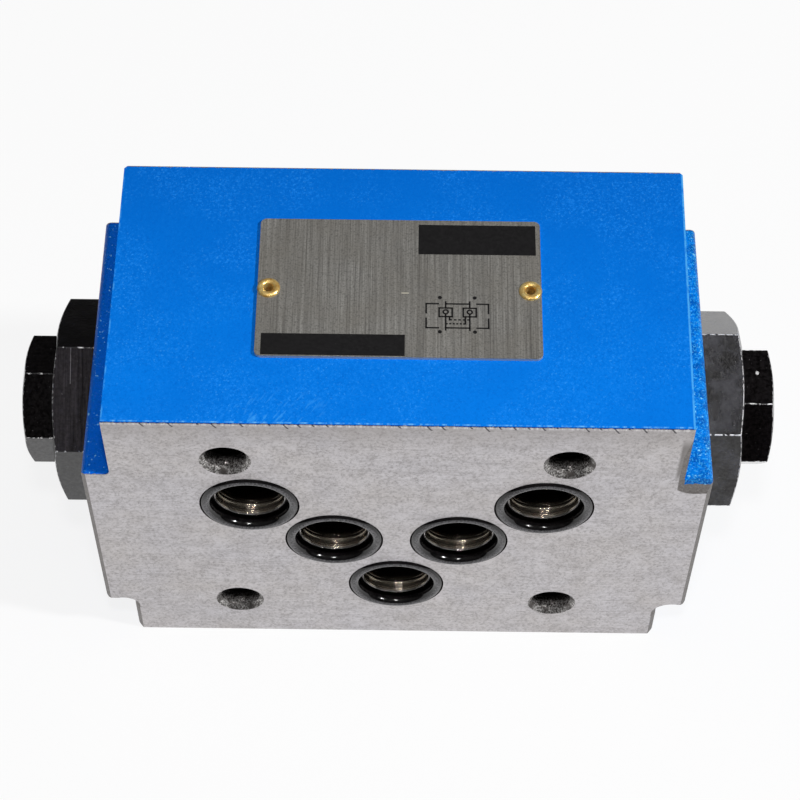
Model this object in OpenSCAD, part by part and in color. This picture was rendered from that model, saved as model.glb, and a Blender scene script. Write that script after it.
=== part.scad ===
// Sandwich-plate check valve for a four-bolt, five-port subplate.
// X runs along the spool, the seal face looks to -Y, and the nameplate looks to +Z.
// The origin is under the middle of the body, on the face that it rests on.

/* [Plate body] */
// Length of the plate along the spool, without the end bosses
body_length = 91; // [86:0.2:110]
// Thickness between the seal face and the valve face
body_thickness = 50; // [48:0.5:70]
// Height from the rest face to the nameplate face
body_height = 68; // [66:0.5:90]
// Reach of each end boss beyond the plate
boss_reach = 4.7; // [4:0.1:12]
// Height of the bosses' lower side above the rest face
boss_lift = 10.2; // [4:0.1:13]
// Height of the bosses
boss_height = 42.4; // [38:0.1:46]
// Radius of the bosses' outer corners
boss_corner_r = 1.1; // [0.4:0.1:2]
// Radius of the inner corner above the left boss
upper_fillet_r = 1.0; // [0.3:0.1:2.5]
// Radius of the inner corner below the left boss
left_fillet_r = 1.8; // [0.3:0.1:2.2]
// Radius of the inner corner below the right boss
right_fillet_r = 2.6; // [0.3:0.1:2.8]
// Radius of the plate's lower corners
foot_corner_r = 0.8; // [0.3:0.1:3]
// Bevel of the two ends at the seal face
end_bevel_size = 0.8; // [0.2:0.1:2]
// Extra width of a bevel in the inner corners
corner_relief = 0.15; // [0.1:0.05:0.4]
// Bevel of the plate's upper ends at the valve face
valve_bevel = 0.5; // [0.3:0.1:2]
// Extra length of the plate's upper right end at the valve face
right_flare = 0.8; // [0.2:0.1:2]
// Height of the sloping strip along the right boss's upper edge, on the seal face
strip_height = 3.5; // [2:0.1:3.6]
// Width of the sloping strip beside the plate's right edge
strip_width = 2.1; // [1:0.1:2.6]
// Radius of the sloping strip's turn between the two
strip_turn_r = 4.1; // [4:0.1:5]
// Distance from the nameplate face at which the sloping strip runs out
strip_fade = 3; // [2:0.1:6]
// Slope of the strip to the seal face
strip_angle = 11; // [6:1:16]

/* [Bolt and port pattern] */
// Bolt spacing along the spool
bolt_span_x = 54; // [50:0.5:60]
// Bolt spacing across the spool
bolt_span_z = 46; // [44:0.5:52]
// Diameter of the bolt holes
bolt_hole_d = 6.6; // [5:0.1:9]
// Chamfer at both mouths of the bolt holes
bolt_chamfer = 0.8; // [0.3:0.1:1.2]
// Height of the lower bolt row above the rest face
bolt_row_lift = 11.2; // [8:0.1:14]
// Diameter of the ports
port_d = 11.2; // [8:0.1:11.6]
// Height of port P above the lower bolt row
p_rise = 6.3; // [4:0.1:6.5]
// Distance of ports A and B from the middle
ab_offset = 10.3; // [9.5:0.1:11]
// Height of ports A and B, and of the spool, above the lower bolt row
ab_rise = 21.4; // [20.5:0.1:23]
// Distance of the two T ports from the middle
t_offset = 23.8; // [22.5:0.1:25]
// Height of the two T ports above the lower bolt row
t_rise = 32.5; // [32:0.1:33]
// Depth of ports A and B in the seal face
ab_depth = 10; // [8:0.5:12]
// Depth of the T ports in the seal face
t_depth = 12; // [9:0.5:13]
// Depth of the T ports in the valve face
t_valve_depth = 9; // [7:0.5:10]

/* [Port seals] */
// Inside diameter of the port O-rings
port_seal_hole_d = 12.4; // [11.8:0.1:13]
// Section of the port O-rings
port_seal_section = 1.8; // [1.4:0.1:2]
// Depth of the O-ring seats
port_seat_depth = 1.4; // [1:0.1:1.6]
// Side play of an O-ring in its seat
seal_play = 0.1; // [0.05:0.01:0.2]

/* [Bores along the spool] */
// Distance of the spool's axis from the seal face
axis_depth = 27; // [26:0.5:30]
// Diameter of the spool bore
spool_bore_d = 14; // [12:0.2:16]
// Land between ports A and B and the seat bushes
shoulder_margin = 1.1; // [0.8:0.1:2]
// Diameter of the seat bush bore
seat_bore_d = 21; // [19:0.2:22]
// Diameter of the chamber round the cage
chamber_d = 24; // [23:0.2:24.6]
// Thread diameter of the end plugs
plug_thread_d = 26; // [25:0.2:27]
// Diameter of the cross drillings from ports A and B to the chambers
feed_d = 7; // [5:0.2:7.4]
// Diameter of the channel that joins the two ends of each T port
t_channel_d = 6.4; // [5:0.2:6.8]
// Distance of the T channels from the middle
t_channel_offset = 22.5; // [20:0.1:23]
// Height of the T channels above the T ports
t_channel_rise = 6.3; // [6:0.1:7]

/* [Seat bushes] */
// Length of a seat bush
seat_length = 6; // [5:0.1:8]
// Bore of a seat bush
seat_hole_d = 11; // [9:0.2:12]
// Section of a seat bush O-ring
seat_seal_section = 1.2; // [0.8:0.1:1.5]

/* [End plugs] */
// Width across flats of the end plugs
plug_hex = 30; // [28:0.5:34]
// Height of an end plug's hexagon
plug_hex_height = 7.3; // [6:0.1:12]
// Length of the windowed cage at a plug's inner end
cage_length = 10.5; // [9:0.1:12]
// Outside diameter of the cage
cage_d = 20.8; // [20:0.1:21.4]
// Inside diameter of the cage
cage_hole_d = 18.4; // [17:0.1:19]
// Diameter of the four windows in the cage
cage_window_d = 6.4; // [4:0.2:7.4]
// Section of an end plug's O-ring
plug_seal_section = 1.6; // [1:0.1:1.8]
// Angle of the left plug's first corner, from +Y toward +Z
left_plug_angle = 32.9; // [0:0.1:60]
// Angle of the right plug's first corner
right_plug_angle = 18; // [0:0.1:60]

/* [Cap screws] */
// Width across flats of the cap screws
cap_hex = 19; // [17:0.5:22]
// Height of a cap screw's hexagon
cap_hex_height = 5.7; // [4:0.1:9]
// Thread diameter of the cap screws
cap_thread_d = 10; // [9.8:0.1:12]
// Section of a cap screw's O-ring
cap_seal_section = 1.5; // [1:0.1:1.8]
// Angle of the left cap screw's first corner
left_cap_angle = 39.8; // [0:0.1:60]
// Angle of the right cap screw's first corner
right_cap_angle = 59.3; // [0:0.1:60]
// Slope of the chamfers on the hexagons' outer ends
hex_chamfer_angle = 16; // [10:1:40]
// Share of a hexagon's width that stays flat on its outer end
hex_flat_share = 0.95; // [0.8:0.01:1]

/* [Poppets] */
// Diameter of a poppet and of its guide in the plug
poppet_d = 16; // [15:0.1:16.6]
// Length of a poppet's guided skirt inside the plug when closed
poppet_engagement = 7.5; // [6:0.1:9]
// Opening stroke of a poppet
poppet_stroke = 3; // [2:0.1:4]
// Reach of a poppet's nose through its seat
nose_reach = 1.9; // [1:0.1:2.4]
// Bore of a poppet's skirt
poppet_hole_d = 11.2; // [10.8:0.1:12]
// Hole in a poppet's nose, closed by the ball
nose_hole_d = 4.4; // [4:0.1:5]
// Depth of the ball seat behind a poppet's main seat
ball_seat_depth = 2; // [1.5:0.1:3]
// Length of the cone behind the ball seat
ball_cone_length = 2; // [1.5:0.1:3]
// Diameter of the relief holes through a poppet's skirt
relief_hole_d = 2; // [1:0.1:3]

/* [Balls, guides and springs] */
// Diameter of the decompression balls
ball_d = 6; // [5.6:0.1:7]
// Lift of a ball off its seat
ball_lift = 0.8; // [0.4:0.1:1]
// Thickness of a ball guide's flange
guide_flange = 4.2; // [3.6:0.1:5]
// Distance of a ball guide's front from the ball's middle
guide_front = 1.2; // [0.8:0.1:1.6]
// Diameter of a ball guide's stem, inside the spring
guide_stem_d = 5.2; // [4:0.1:6]
// Length of a ball guide's stem
guide_stem = 4.5; // [2:0.1:5.5]
// Vent hole through a ball guide
guide_vent_d = 1.6; // [1:0.1:2.4]
// Diameter of the four flow grooves along a ball guide's flange
guide_groove_d = 2; // [1:0.1:2.4]
// Wire diameter of the springs
wire_d = 1.0; // [0.7:0.05:1.1]
// Mean diameter of the springs
spring_d = 8.4; // [7.8:0.1:8.6]
// Turns of a spring
spring_turns = 6; // [5:0.5:7]

/* [Control spool] */
// Length of the spool's land
land_length = 9; // [7:0.1:9.2]
// Width of the grooves round the land
groove_width = 0.6; // [0.3:0.1:1]
// Depth of the grooves round the land
groove_depth = 0.4; // [0.2:0.1:0.8]
// Diameter of the spool's stems
stem_d = 7; // [5:0.1:8]
// Diameter of the pins that push the balls
push_pin_d = 3.2; // [2.4:0.1:3.6]
// Free travel of the spool before a pin meets its ball
free_travel = 1.5; // [0.8:0.1:2]

/* [Nameplate] */
// Length of the nameplate
plate_length = 45; // [40:0.5:60]
// Width of the nameplate
plate_width = 26.7; // [20:0.1:32]
// Thickness of the nameplate
plate_thickness = 0.6; // [0.4:0.1:1.2]
// Corner radius of the nameplate
plate_corner_r = 1; // [0.3:0.1:3]
// Distance of the nameplate's middle from the seal face
plate_depth = 25.7; // [22:0.1:28]
// Distance of the rivets from the seal face
rivet_depth = 25.25; // [22:0.05:28]
// Spacing of the rivets
rivet_span = 41.5; // [36:0.1:41.5]
// Diameter of a rivet's rim
rivet_rim_d = 3.7; // [3:0.1:4]
// Height of a rivet's rim
rivet_rim = 0.45; // [0.3:0.05:0.8]
// Diameter of a rivet's shank
rivet_shank_d = 2.2; // [2:0.1:2.6]
// Bore of a rivet
rivet_hole_d = 1.5; // [1:0.1:1.6]
// Length of a rivet's shank in the body
rivet_grip = 4; // [2:0.1:6]

/* [Clearances] */
// Radial running clearance of spool, poppets and ball guides
running_gap = 0.04; // [0.02:0.01:0.08]
// Radial clearance of screwed and pushed-in pieces
thread_gap = 0.05; // [0.02:0.01:0.1]
// Gap left where a ring, ball, cone or spring rests
rest_gap = 0.03; // [0.02:0.01:0.06]

/* [Hidden] */

$fn = 96;
left = -1;
right = 1;

blue_paint = [0.02, 0.42, 0.82];
black_steel = [0.13, 0.12, 0.13];
bright_steel = [0.72, 0.72, 0.74];
seal_black = [0.05, 0.05, 0.05];
brushed_plate = [0.5, 0.49, 0.47];
rivet_brass = [0.8, 0.64, 0.3];

// Amount by which cutters run past the faces that they cut
past = 1;

// Faces and rows of the pattern
seal_face_y = -body_thickness / 2;
valve_face_y = body_thickness / 2;
axis_y = seal_face_y + axis_depth;
axis_z = bolt_row_lift + ab_rise;
p_z = bolt_row_lift + p_rise;
t_z = bolt_row_lift + t_rise;
bolt_rows = [bolt_row_lift, bolt_row_lift + bolt_span_z];
port_places = [[0, p_z], [-ab_offset, axis_z], [ab_offset, axis_z], [-t_offset, t_z], [t_offset, t_z]];
boss_top = boss_lift + boss_height;
half_length = body_length / 2;

// Stations along the spool's axis, as distances from the middle
shoulder_h = ab_offset + port_d / 2 + shoulder_margin;
seat_h = shoulder_h + seat_length;
guide_h = seat_h + cage_length;
guide_end_h = guide_h + poppet_engagement + poppet_stroke;
boss_h = half_length + boss_reach;
plug_end_h = boss_h + plug_hex_height;
cap_end_h = plug_end_h + cap_hex_height;
window_h = seat_h + cage_length / 2;
ball_seat_h = seat_h + ball_seat_depth;

// Radii that fit into one another
poppet_r = poppet_d / 2 - running_gap;
plug_r = plug_thread_d / 2 - thread_gap;
cap_r = cap_thread_d / 2 - thread_gap;
seat_r = seat_bore_d / 2 - thread_gap;
port_seat_r = port_seal_hole_d / 2 + port_seal_section + seal_play;
plug_seat_r = plug_r + plug_seal_section + thread_gap;
cap_seat_r = cap_r + cap_seal_section + thread_gap;
rivet_hole_r = rivet_shank_d / 2 + thread_gap;

// Where the ball rests in a poppet, and what pushes it
ball_r = ball_d / 2;
ball_h = ball_seat_h + sqrt(pow(ball_r + rest_gap, 2) - pow(nose_hole_d / 2, 2));
guide_front_h = ball_h + guide_front;
guide_back_h = guide_front_h + guide_flange;
nose_h = seat_h - nose_reach;
pin_tip_h = ball_h - ball_r - free_travel;
spool_shoulder_h = nose_h - free_travel - ball_lift;

// Puts children that stand on local Z on the spool's axis, pointing out of one end
module along_axis(side) {
    translate([0, axis_y, axis_z])
        mirror([side == left ? 1 : 0, 0, 0])
            rotate([0, 90, 0])
                children();
}

// Puts children that stand on local Z in the seal face, pointing into the body
module into_seal_face(x, z) {
    translate([x, seal_face_y, z])
        rotate([-90, 0, 0])
            children();
}

// Puts children that stand on local Z in the valve face, pointing into the body
module into_valve_face(x, z) {
    translate([x, valve_face_y, z])
        rotate([90, 0, 0])
            children();
}

// A turned piece from its half profile of [radius, height] points
module turned(profile) {
    rotate_extrude()
        polygon(profile);
}

// A round-section ring that stands on local Z = 0
module o_ring(inner_r, section) {
    translate([0, 0, section / 2])
        rotate_extrude()
            translate([inner_r + section / 2, 0])
                circle(d = section, $fn = 32);
}

// A blind hole with a drill point and the small flat of the drill's chisel edge
module drilled(d, depth) {
    drill_point_angle = 118;
    chisel_r = d / 20;
    end = depth + (d / 2 - chisel_r) / tan(drill_point_angle / 2);
    turned([[0, -past], [d / 2, -past], [d / 2, depth], [chisel_r, end], [0, end]]);
}

// A flat rectangle with its own radius at every corner
module rounded_rect(w, h, r) {
    translate([r, 0])
        square([w - 2 * r, h]);
    translate([0, r])
        square([w, h - 2 * r]);
    for (x = [r, w - r], y = [r, h - r])
        translate([x, y])
            circle(r);
}

// A hexagon of one width across flats, chamfered on its outer end
module hex_head(across_flats, height, angle) {
    corner_r = across_flats / sqrt(3);
    flat_r = hex_flat_share * across_flats / 2;
    drop = (corner_r + past - flat_r) * tan(hex_chamfer_angle);
    intersection() {
        rotate(angle + 90)
            cylinder(r = corner_r, h = height + past, $fn = 6);
        turned([
            [0, -past],
            [corner_r + past, -past],
            [corner_r + past, height - drop],
            [flat_r, height],
            [0, height]
        ]);
    }
}

// The casting's outline, seen on the seal face
module casting_outline() {
    translate([-half_length, 0])
        rounded_rect(body_length, 2 * foot_corner_r + past, foot_corner_r);
    translate([-half_length, foot_corner_r])
        square([body_length, body_height - foot_corner_r]);
    translate([-boss_h, boss_lift])
        rounded_rect(2 * boss_h, boss_height, boss_corner_r);
    inner_corner(left, boss_top, 1, upper_fillet_r);
    inner_corner(left, boss_lift, -1, left_fillet_r);
    inner_corner(right, boss_lift, -1, right_fillet_r);
}

// The fillet where a boss meets the plate; up is 1 above the boss and -1 below it
module inner_corner(side, z, up, fillet_r) {
    translate([side * half_length, z])
        scale([side, up])
            difference() {
                translate([-past, -past])
                    square(fillet_r + past);
                translate([fillet_r, fillet_r])
                    circle(fillet_r);
            }
}

// A straight bevel cutter along one upright edge of a face
module upright_bevel(x, face_y, low, high, size) {
    translate([x, face_y, low])
        linear_extrude(high - low)
            rotate(45)
                square(size * sqrt(2), center = true);
}

// A straight bevel cutter along one level edge of the seal face, running outward
module level_bevel(x, z, length, size) {
    translate([x, seal_face_y, z])
        rotate([0, 90, 0])
            linear_extrude(length)
                rotate(45)
                    square(size * sqrt(2), center = true);
}

// The cone that carries the bevel round the inner corner below a boss
module corner_bevel(fillet_r, size) {
    mouth_r = fillet_r + size + corner_relief;
    cone_depth = mouth_r - fillet_r / 2;
    into_seal_face(half_length + fillet_r, boss_lift - fillet_r)
        turned([[0, -past], [mouth_r + past, -past], [mouth_r - cone_depth, cone_depth], [0, cone_depth]]);
}

// The bevel that follows one end's outline down the boss and the foot
module end_bevel(side, size, fillet_r, flare) {
    mirror([side == left ? 1 : 0, 0, 0]) {
        upright_bevel(boss_h, seal_face_y, boss_lift - past, boss_top + past, size);
        upright_bevel(half_length, seal_face_y, -past, boss_lift - fillet_r, size);
        level_bevel(half_length + fillet_r, boss_lift, boss_reach, size);
        corner_bevel(fillet_r, size);
        upright_bevel(half_length + flare, valve_face_y, boss_top + past, body_height + past, valve_bevel);
    }
}

// The wedge by which the plate's upper right end grows toward the valve face
module flared_end() {
    translate([0, 0, boss_top - past])
        linear_extrude(body_height - boss_top + past)
            polygon([
                [half_length - past, seal_face_y],
                [half_length, seal_face_y],
                [half_length + right_flare, valve_face_y],
                [half_length - past, valve_face_y]
            ]);
}

// The sloping strip beside the milled seal face: along the right boss and up the plate's edge
module sloping_strip() {
    low_z = boss_top - strip_height;
    turn_x = half_length - strip_width + strip_turn_r;
    turn_z = low_z + strip_turn_r;
    fade_z = body_height - strip_fade;
    run = norm([strip_width, fade_z - turn_z]);
    lean = atan2(strip_width, fade_z - turn_z);
    mouth_r = strip_turn_r + corner_relief;
    tip_r = strip_turn_r / 10;
    tip_depth = (mouth_r - tip_r) * tan(strip_angle);
    lead = past * tan(strip_angle);
    translate([turn_x, seal_face_y, low_z])
        rotate([-strip_angle, 0, 0])
            translate([0, -past, 0])
                cube([boss_h - turn_x + past, past, strip_height + past]);
    translate([half_length, seal_face_y, fade_z])
        rotate([0, lean, 0])
            rotate([0, 0, strip_angle])
                translate([0, -past, -run])
                    cube([strip_width + past / 2, past, run]);
    into_seal_face(turn_x, turn_z)
        turned([[0, -lead], [mouth_r + past, -lead], [tip_r, tip_depth], [0, tip_depth]]);
}

// A bolt hole through the plate, chamfered at both mouths
module bolt_hole(x, z) {
    hole_r = bolt_hole_d / 2;
    mouth_r = hole_r + bolt_chamfer + past;
    into_seal_face(x, z)
        turned([
            [0, -past],
            [mouth_r, -past],
            [hole_r, bolt_chamfer],
            [hole_r, body_thickness - bolt_chamfer],
            [mouth_r, body_thickness + past],
            [0, body_thickness + past]
        ]);
}

// The stepped bore of one end: seat bush, chamber, plug thread and seal seat
module end_bore(side) {
    seal_floor_h = boss_h - plug_seal_section - 2 * rest_gap;
    along_axis(side)
        turned([
            [0, shoulder_h - past],
            [spool_bore_d / 2, shoulder_h - past],
            [spool_bore_d / 2, shoulder_h],
            [seat_bore_d / 2, shoulder_h],
            [seat_bore_d / 2, seat_h],
            [chamber_d / 2, seat_h],
            [chamber_d / 2, guide_h],
            [plug_thread_d / 2, guide_h],
            [plug_thread_d / 2, seal_floor_h],
            [plug_seat_r, seal_floor_h],
            [plug_seat_r, boss_h + past],
            [0, boss_h + past]
        ]);
}

// The cross drillings that lead one port of the seal face to its chamber
module feed_drilling(side) {
    feed_y = ab_depth - feed_d / 2 + past;
    chamber_front = axis_depth - chamber_d / 2 + past;
    into_seal_face(side * ab_offset, axis_z)
        drilled(port_d, ab_depth);
    translate([side * ab_offset, seal_face_y + feed_y, axis_z])
        rotate([0, side * 90, 0])
            cylinder(d = feed_d, h = window_h - ab_offset + feed_d / 2);
    translate([side * window_h, seal_face_y + feed_y, axis_z])
        rotate([-90, 0, 0])
            cylinder(d = feed_d, h = chamber_front - feed_y);
}

// One T port: a hole in each face, joined by a channel above the chamber
module tank_passage(side) {
    channel_inset = t_valve_depth / 2;
    into_seal_face(side * t_offset, t_z)
        drilled(port_d, t_depth);
    into_valve_face(side * t_offset, t_z)
        cylinder(d = port_d, h = 2 * t_valve_depth, center = true);
    into_seal_face(side * t_channel_offset, t_z + t_channel_rise)
        translate([0, 0, channel_inset])
            cylinder(d = t_channel_d, h = body_thickness - 2 * channel_inset);
}

// Puts children at the place of a rivet on the nameplate face
module at_rivet(side) {
    translate([side * rivet_span / 2, seal_face_y + rivet_depth, body_height])
        children();
}

module valve_body() {
    color(blue_paint)
        difference() {
            union() {
                rotate([90, 0, 0])
                    linear_extrude(body_thickness, center = true)
                        casting_outline();
                flared_end();
            }
            end_bevel(left, end_bevel_size, left_fillet_r, 0);
            end_bevel(right, end_bevel_size, right_fillet_r, right_flare);
            sloping_strip();
            for (x = [-bolt_span_x / 2, bolt_span_x / 2], z = bolt_rows)
                bolt_hole(x, z);
            into_seal_face(0, p_z)
                translate([0, 0, -past])
                    cylinder(d = port_d, h = body_thickness + 2 * past);
            for (place = port_places)
                into_seal_face(place[0], place[1])
                    cylinder(r = port_seat_r, h = 2 * port_seat_depth, center = true);
            along_axis(right)
                cylinder(d = spool_bore_d, h = 2 * shoulder_h, center = true);
            for (side = [left, right]) {
                end_bore(side);
                feed_drilling(side);
                tank_passage(side);
                into_valve_face(side * ab_offset, axis_z)
                    translate([0, 0, -past])
                        cylinder(d = port_d, h = body_thickness - axis_depth - spool_bore_d / 4 + past);
                at_rivet(side)
                    translate([0, 0, -rivet_grip - past / 2])
                        cylinder(r = rivet_hole_r, h = rivet_grip + past);
            }
        }
}

module port_seal(place) {
    color(seal_black)
        into_seal_face(place[0], place[1])
            translate([0, 0, port_seat_depth - port_seal_section - rest_gap])
                o_ring(port_seal_hole_d / 2, port_seal_section);
}

module nameplate() {
    color(brushed_plate)
        difference() {
            translate([-plate_length / 2, seal_face_y + plate_depth - plate_width / 2, body_height])
                linear_extrude(plate_thickness)
                    rounded_rect(plate_length, plate_width, plate_corner_r);
            for (side = [left, right])
                at_rivet(side)
                    cylinder(r = rivet_hole_r, h = 2 * plate_thickness + past, center = true);
        }
}

// A hollow rivet whose rim is rolled over the plate
module rivet(side) {
    rim_half = (rivet_rim_d - rivet_hole_d) / 4;
    rim_mid_r = rivet_hole_d / 2 + rim_half;
    shank = [
        [rivet_hole_d / 2, -rivet_grip],
        [rivet_shank_d / 2, -rivet_grip],
        [rivet_shank_d / 2, plate_thickness]
    ];
    rolled_rim = [
        for (roll = [0 : 20 : 180])
            [rim_mid_r + rim_half * cos(roll), plate_thickness + rivet_rim * sin(roll)]
    ];
    color(rivet_brass)
        at_rivet(side)
            turned(concat(shank, rolled_rim));
}

// The end plug: a hexagon, a threaded shank that guides the poppet, and a windowed cage
module end_plug(side, angle) {
    cap_floor_h = plug_end_h - cap_seal_section - 2 * rest_gap;
    color(black_steel)
        along_axis(side)
            difference() {
                union() {
                    translate([0, 0, boss_h])
                        hex_head(plug_hex, plug_hex_height, angle);
                    turned([
                        [0, seat_h],
                        [cage_d / 2, seat_h],
                        [cage_d / 2, guide_h],
                        [plug_r, guide_h],
                        [plug_r, boss_h + past],
                        [0, boss_h + past]
                    ]);
                }
                turned([
                    [0, seat_h - past],
                    [cage_hole_d / 2, seat_h - past],
                    [cage_hole_d / 2, guide_h],
                    [poppet_d / 2, guide_h],
                    [poppet_d / 2, guide_end_h],
                    [cap_thread_d / 2, guide_end_h],
                    [cap_thread_d / 2, cap_floor_h],
                    [cap_seat_r, cap_floor_h],
                    [cap_seat_r, plug_end_h + past],
                    [0, plug_end_h + past]
                ]);
                for (quarter = [0, 90])
                    translate([0, 0, window_h])
                        rotate([90, 0, quarter])
                            cylinder(d = cage_window_d, h = cage_d + 2 * past, center = true);
            }
}

module end_plug_seal(side) {
    color(seal_black)
        along_axis(side)
            translate([0, 0, boss_h - plug_seal_section - rest_gap])
                o_ring(plug_r + thread_gap / 2, plug_seal_section);
}

// The cap screw, whose inner end is the spring's seat
module cap_screw(side, angle) {
    color(black_steel)
        along_axis(side) {
            translate([0, 0, plug_end_h])
                hex_head(cap_hex, cap_hex_height, angle);
            translate([0, 0, guide_end_h])
                cylinder(r = cap_r, h = plug_end_h - guide_end_h + past);
        }
}

module cap_seal(side) {
    color(seal_black)
        along_axis(side)
            translate([0, 0, plug_end_h - cap_seal_section - rest_gap])
                o_ring(cap_r + thread_gap / 2, cap_seal_section);
}

// The seat bush, with a groove for its O-ring and a sharp edge for the poppet
module seat_bush(side) {
    groove_half = seat_seal_section / 2 + seal_play;
    middle_h = shoulder_h + seat_length / 2;
    groove_r = seat_r - seat_seal_section;
    color(bright_steel)
        along_axis(side)
            turned([
                [seat_hole_d / 2, shoulder_h],
                [seat_r, shoulder_h],
                [seat_r, middle_h - groove_half],
                [groove_r, middle_h - groove_half],
                [groove_r, middle_h + groove_half],
                [seat_r, middle_h + groove_half],
                [seat_r, seat_h],
                [seat_hole_d / 2, seat_h]
            ]);
}

module seat_seal(side) {
    color(seal_black)
        along_axis(side)
            translate([0, 0, shoulder_h + (seat_length - seat_seal_section) / 2])
                o_ring(seat_r - seat_seal_section + thread_gap / 2, seat_seal_section);
}

// The floating spool: one grooved land and a stepped stem toward each ball
module control_spool() {
    land_r = spool_bore_d / 2 - running_gap;
    color(bright_steel)
        difference() {
            union() {
                along_axis(right)
                    cylinder(r = land_r, h = land_length, center = true);
                for (side = [left, right])
                    along_axis(side)
                        turned([
                            [0, 0],
                            [stem_d / 2, 0],
                            [stem_d / 2, spool_shoulder_h],
                            [push_pin_d / 2, spool_shoulder_h],
                            [push_pin_d / 2, pin_tip_h],
                            [0, pin_tip_h]
                        ]);
            }
            for (place = [-land_length / 4, land_length / 4])
                along_axis(right)
                    translate([0, 0, place])
                        difference() {
                            cylinder(r = land_r + past, h = groove_width, center = true);
                            cylinder(r = land_r - groove_depth, h = groove_width + past, center = true);
                        }
        }
}

// The main poppet: a cone on the bush's edge, a guided skirt and a seat for the ball
module poppet(side) {
    edge_r = seat_hole_d / 2 - rest_gap * sqrt(2);
    back_h = guide_h + poppet_engagement;
    hole_r = poppet_hole_d / 2;
    color(bright_steel)
        along_axis(side)
            difference() {
                turned([
                    [nose_hole_d / 2, nose_h],
                    [edge_r - nose_reach, nose_h],
                    [poppet_r, seat_h + poppet_r - edge_r],
                    [poppet_r, back_h],
                    [hole_r, back_h],
                    [hole_r, ball_seat_h + ball_cone_length],
                    [nose_hole_d / 2, ball_seat_h]
                ]);
                translate([0, 0, guide_front_h - relief_hole_d / 2])
                    rotate([90, 0, 0])
                        cylinder(d = relief_hole_d, h = poppet_d + past, center = true);
            }
}

module ball(side) {
    color(bright_steel)
        along_axis(side)
            translate([0, 0, ball_h])
                sphere(ball_r);
}

// The guide that the spring presses on the ball, with a cone that holds the ball
module ball_guide(side) {
    flange_r = poppet_hole_d / 2 - running_gap;
    cone_sum = ball_h + (ball_r + rest_gap) * sqrt(2);
    vent_r = guide_vent_d / 2;
    stem_end_h = guide_back_h + guide_stem;
    color(bright_steel)
        along_axis(side)
            difference() {
                turned([
                    [cone_sum - guide_front_h, guide_front_h],
                    [flange_r, guide_front_h],
                    [flange_r, guide_back_h],
                    [guide_stem_d / 2, guide_back_h],
                    [guide_stem_d / 2, stem_end_h],
                    [vent_r, stem_end_h],
                    [vent_r, cone_sum - vent_r]
                ]);
                for (quarter = [45 : 90 : 315])
                    rotate(quarter)
                        translate([flange_r, 0, guide_front_h - past])
                            cylinder(d = guide_groove_d, h = guide_flange + 2 * past);
            }
}

// Height of the spring's wire above its first turn, with one closed turn at each end
closed_turns = 1;
closed_pitch = wire_d + rest_gap;
spring_length = guide_end_h - guide_back_h;
wire_rise = spring_length - wire_d - 2 * rest_gap;
open_pitch = (wire_rise - 2 * closed_turns * closed_pitch) / (spring_turns - 2 * closed_turns);
function coil_rise(turn) =
    turn < closed_turns ? turn * closed_pitch
    : turn > spring_turns - closed_turns ? wire_rise - (spring_turns - turn) * closed_pitch
    : closed_turns * closed_pitch + (turn - closed_turns) * open_pitch;

// A point on the wire's surface, at one turn and one angle round the wire
function wire_point(turn, round) =
    let (reach = spring_d / 2 + wire_d / 2 * cos(round))
    [reach * cos(360 * turn), reach * sin(360 * turn), coil_rise(turn) + wire_d / 2 * sin(round)];

// The coil spring between the ball guide and the cap screw
module spring(side) {
    steps = 16;
    sides = 8;
    rings = spring_turns * steps;
    points = [for (k = [0 : rings], s = [0 : sides - 1]) wire_point(k / steps, 360 * s / sides)];
    walls = [
        for (k = [0 : rings - 1], s = [0 : sides - 1])
            let (next = (s + 1) % sides)
            [k * sides + s, (k + 1) * sides + s, (k + 1) * sides + next, k * sides + next]
    ];
    first_end = [for (s = [0 : sides - 1]) s];
    last_end = [for (s = [sides - 1 : -1 : 0]) rings * sides + s];
    color(bright_steel)
        along_axis(side)
            translate([0, 0, guide_back_h + wire_d / 2 + rest_gap])
                polyhedron(points, concat(walls, [first_end, last_end]));
}

valve_body();
nameplate();
rivet(left);  // left_rivet
rivet(right);  // right_rivet
port_seal(port_places[0]);  // port_seal_p
port_seal(port_places[1]);  // port_seal_a
port_seal(port_places[2]);  // port_seal_b
port_seal(port_places[3]);  // port_seal_t_left
port_seal(port_places[4]);  // port_seal_t_right
end_plug(left, left_plug_angle);  // left_end_plug
end_plug(right, right_plug_angle);  // right_end_plug
end_plug_seal(left);  // left_end_plug_seal
end_plug_seal(right);  // right_end_plug_seal
cap_screw(left, left_cap_angle);  // left_cap_screw
cap_screw(right, right_cap_angle);  // right_cap_screw
cap_seal(left);  // left_cap_seal
cap_seal(right);  // right_cap_seal
seat_bush(left);  // left_seat_bush
seat_bush(right);  // right_seat_bush
seat_seal(left);  // left_seat_seal
seat_seal(right);  // right_seat_seal
control_spool();
poppet(left);  // left_poppet
poppet(right);  // right_poppet
ball(left);  // left_ball
ball(right);  // right_ball
ball_guide(left);  // left_ball_guide
ball_guide(right);  // right_ball_guide
spring(left);  // left_spring
spring(right);  // right_spring
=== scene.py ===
import math

import bmesh
import bpy
from mathutils import Matrix, Vector


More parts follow.
